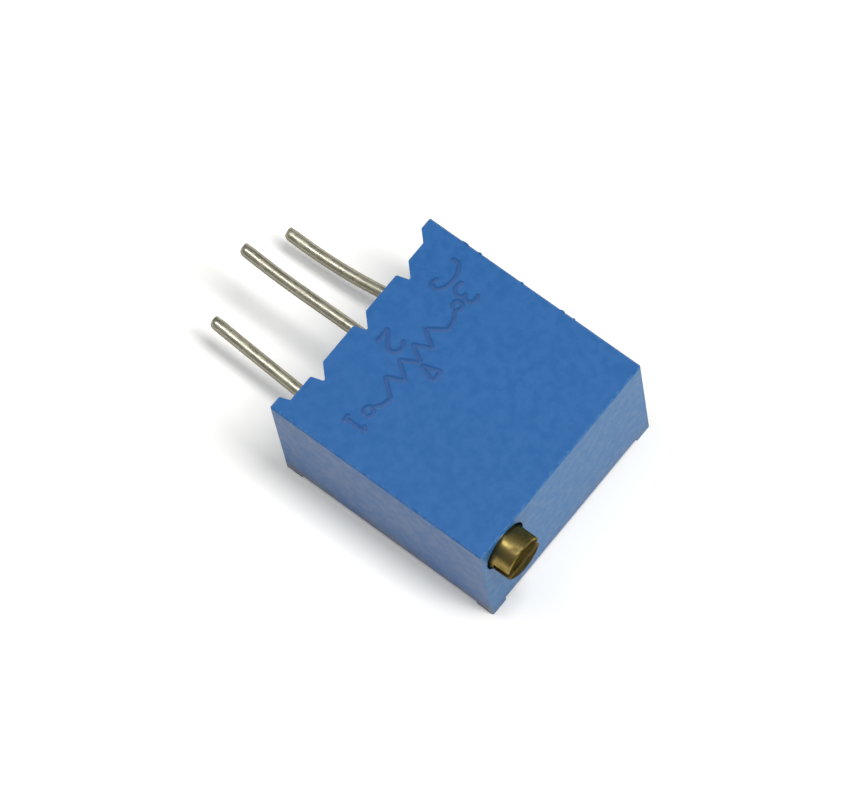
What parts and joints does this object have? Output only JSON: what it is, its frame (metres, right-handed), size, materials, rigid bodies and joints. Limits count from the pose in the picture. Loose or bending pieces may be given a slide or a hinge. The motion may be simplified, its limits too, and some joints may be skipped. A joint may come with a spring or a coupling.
{
  "type": "trimmer potentiometer",
  "caption": "Square multi-turn trimmer potentiometer with a slotted side-adjust screw and staggered wire terminals.",
  "frame": {"origin": "on the surface the part lies on, under the middle of the housing", "axes": "+Z out of the marked face, +Y the way the terminals point, +X across the part; the screw's head looks towards -Y"},
  "size_m": [0.0096, 0.0164, 0.0059],
  "materials": {
    "blue_housing": "moulded thermoset, fine satin",
    "screw_brass": "turned brass, slightly tarnished",
    "seal_rubber": "silicone rubber",
    "spring_bronze": "rolled phosphor bronze",
    "wheel_nylon": "natural nylon",
    "brush_alloy": "drawn precious-metal wire",
    "alumina": "sintered alumina",
    "cermet": "fired cermet ink",
    "silver_print": "fired silver-palladium ink",
    "tinned_wire": "tinned copper wire, slightly dull",
    "solder": "solder",
    "resin": "cast epoxy"
  },
  "bodies": {
    "body": {"housing": "blue_housing", "screw_seal": "seal_rubber", "screw_clip": "spring_bronze", "substrate": "alumina", "resistive_track": "cermet", "collector_track": "silver_print", "end_pad_1": "silver_print", "end_pad_3": "silver_print", "terminal_1": "tinned_wire", "terminal_2": "tinned_wire", "terminal_3": "tinned_wire", "solder_1": "solder", "solder_2": "solder", "solder_3": "solder", "potting": "resin"},
    "screw": {"adjustment_screw": "screw_brass"},
    "rotor": {"worm_wheel": "wheel_nylon", "wiper_spring": "spring_bronze", "track_brush": "brush_alloy", "collector_brush": "brush_alloy"}
  },
  "joints": [
    {"name": "screw_turn", "type": "hinge", "parent": "body", "child": "screw", "pos_m": [-0.00349, -0.00502, 0.00463], "axis": [0, 1, 0], "range_deg": [-4410, 4590]},
    {"name": "rotor_turn", "type": "hinge", "parent": "body", "child": "rotor", "pos_m": [0, -0.00082, 0.00463], "axis": [0, 0, 1], "range_deg": [-147.5, 153.5]}
  ],
  "couplings": [
    {"joint": "rotor_turn", "follows": "screw_turn", "ratio": 0.033333}
  ]
}
